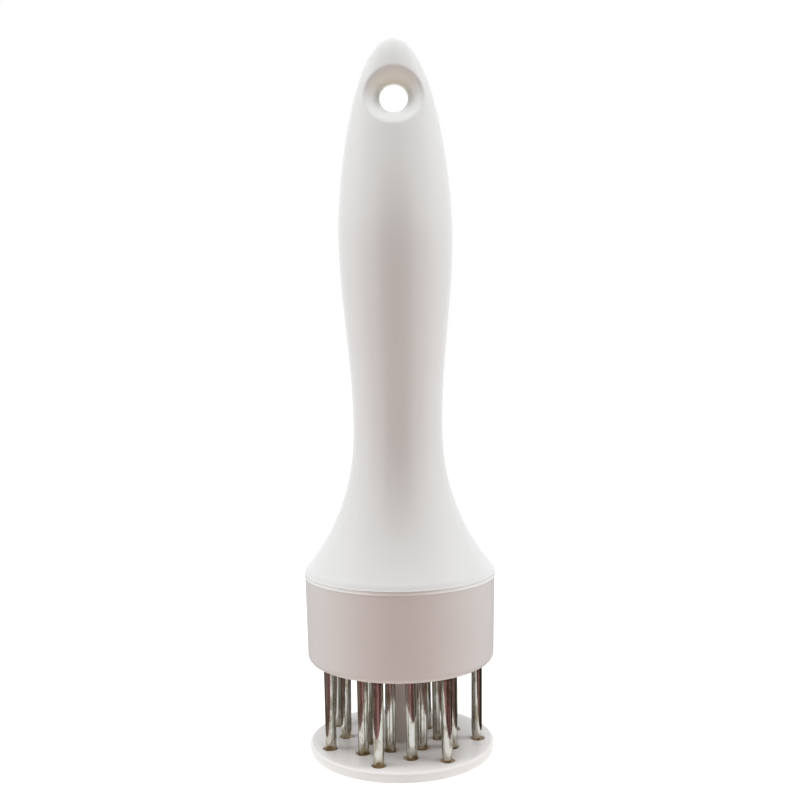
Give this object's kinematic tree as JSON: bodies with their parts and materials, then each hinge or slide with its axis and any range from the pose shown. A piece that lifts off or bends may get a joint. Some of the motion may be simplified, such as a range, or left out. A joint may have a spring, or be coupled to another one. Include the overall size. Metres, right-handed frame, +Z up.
{
  "type": "needle meat tenderizer",
  "caption": "Push-down meat tenderizer: a round cup of steel needles under a tapered handle with a hang hole, and a sprung guard plate that slides up over them.",
  "frame": {"origin": "centre of the guard plate's underside, on which the tool stands at rest", "axes": "+Z up the handle, the longest extent; the hang hole runs along Y, so the handle's broad side faces -Y and +Y"},
  "size_m": [0.054, 0.054, 0.2],
  "materials": {
    "gloss_white_plastic": "glossy",
    "satin_white_plastic": "satin",
    "plate_white_plastic": "satin",
    "needle_steel": "polished",
    "spring_steel": "drawn wire",
    "zinc_screw": "zinc plated"
  },
  "bodies": {
    "handle": {"handle_shell": "gloss_white_plastic", "needle_cup": "satin_white_plastic", "needle_clamp_plate": "satin_white_plastic", "clamp_screws": "zinc_screw", "return_spring": "spring_steel", "needle_outer_1": "needle_steel", "needle_outer_2": "needle_steel", "needle_outer_3": "needle_steel", "needle_outer_4": "needle_steel", "needle_outer_5": "needle_steel", "needle_outer_6": "needle_steel", "needle_outer_7": "needle_steel", "needle_middle_1": "needle_steel", "needle_middle_2": "needle_steel", "needle_middle_3": "needle_steel", "needle_middle_4": "needle_steel", "needle_middle_5": "needle_steel", "needle_middle_6": "needle_steel", "needle_middle_7": "needle_steel", "needle_inner_1": "needle_steel", "needle_inner_2": "needle_steel", "needle_inner_3": "needle_steel", "needle_inner_4": "needle_steel", "needle_inner_5": "needle_steel", "needle_inner_6": "needle_steel", "needle_inner_7": "needle_steel"},
    "guard": {"guard_plate": "plate_white_plastic", "guide_post": "satin_white_plastic", "post_washer": "zinc_screw", "post_screw": "zinc_screw"}
  },
  "joints": [
    {"name": "guard_slide", "type": "slide", "parent": "handle", "child": "guard", "axis": [0, 0, 1], "range_m": [0, 0.0232], "stiffness_N_per_m": 1200, "springref_m": -0.008, "deforming": ["return_spring"]}
  ]
}
